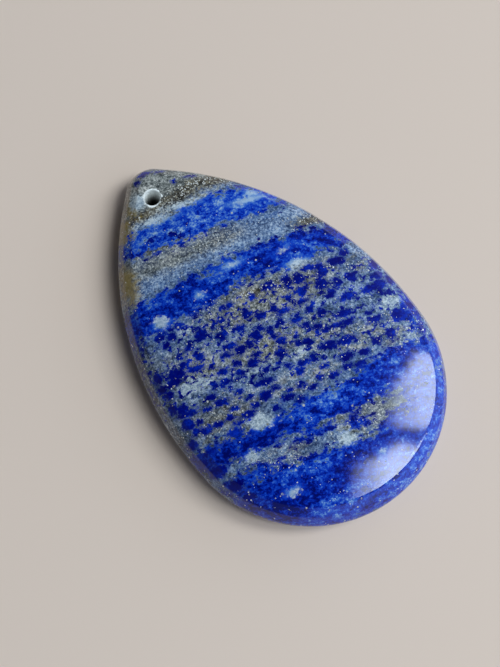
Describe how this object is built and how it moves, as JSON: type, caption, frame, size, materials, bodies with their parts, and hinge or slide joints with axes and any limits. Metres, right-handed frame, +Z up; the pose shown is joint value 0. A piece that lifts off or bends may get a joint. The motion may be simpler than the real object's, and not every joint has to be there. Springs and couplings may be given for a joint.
{
  "type": "polished lapis lazuli teardrop",
  "caption": "Flat teardrop cut from lapis lazuli, polished all over, with a low domed face, a rounded bevelled edge and a small hole drilled near its point.",
  "frame": {"origin": "middle of the outline, on the surface that the flat of the back rests on", "axes": "+Y along the stone towards its point and its hole, +X to the right seen from above, +Z up out of the domed face"},
  "size_m": [0.0326, 0.05, 0.0068],
  "materials": {
    "lapis": "polished, banded blue, grey and white with pyrite flecks"
  },
  "bodies": {
    "root": {"stone": "lapis"}
  },
  "joints": []
}
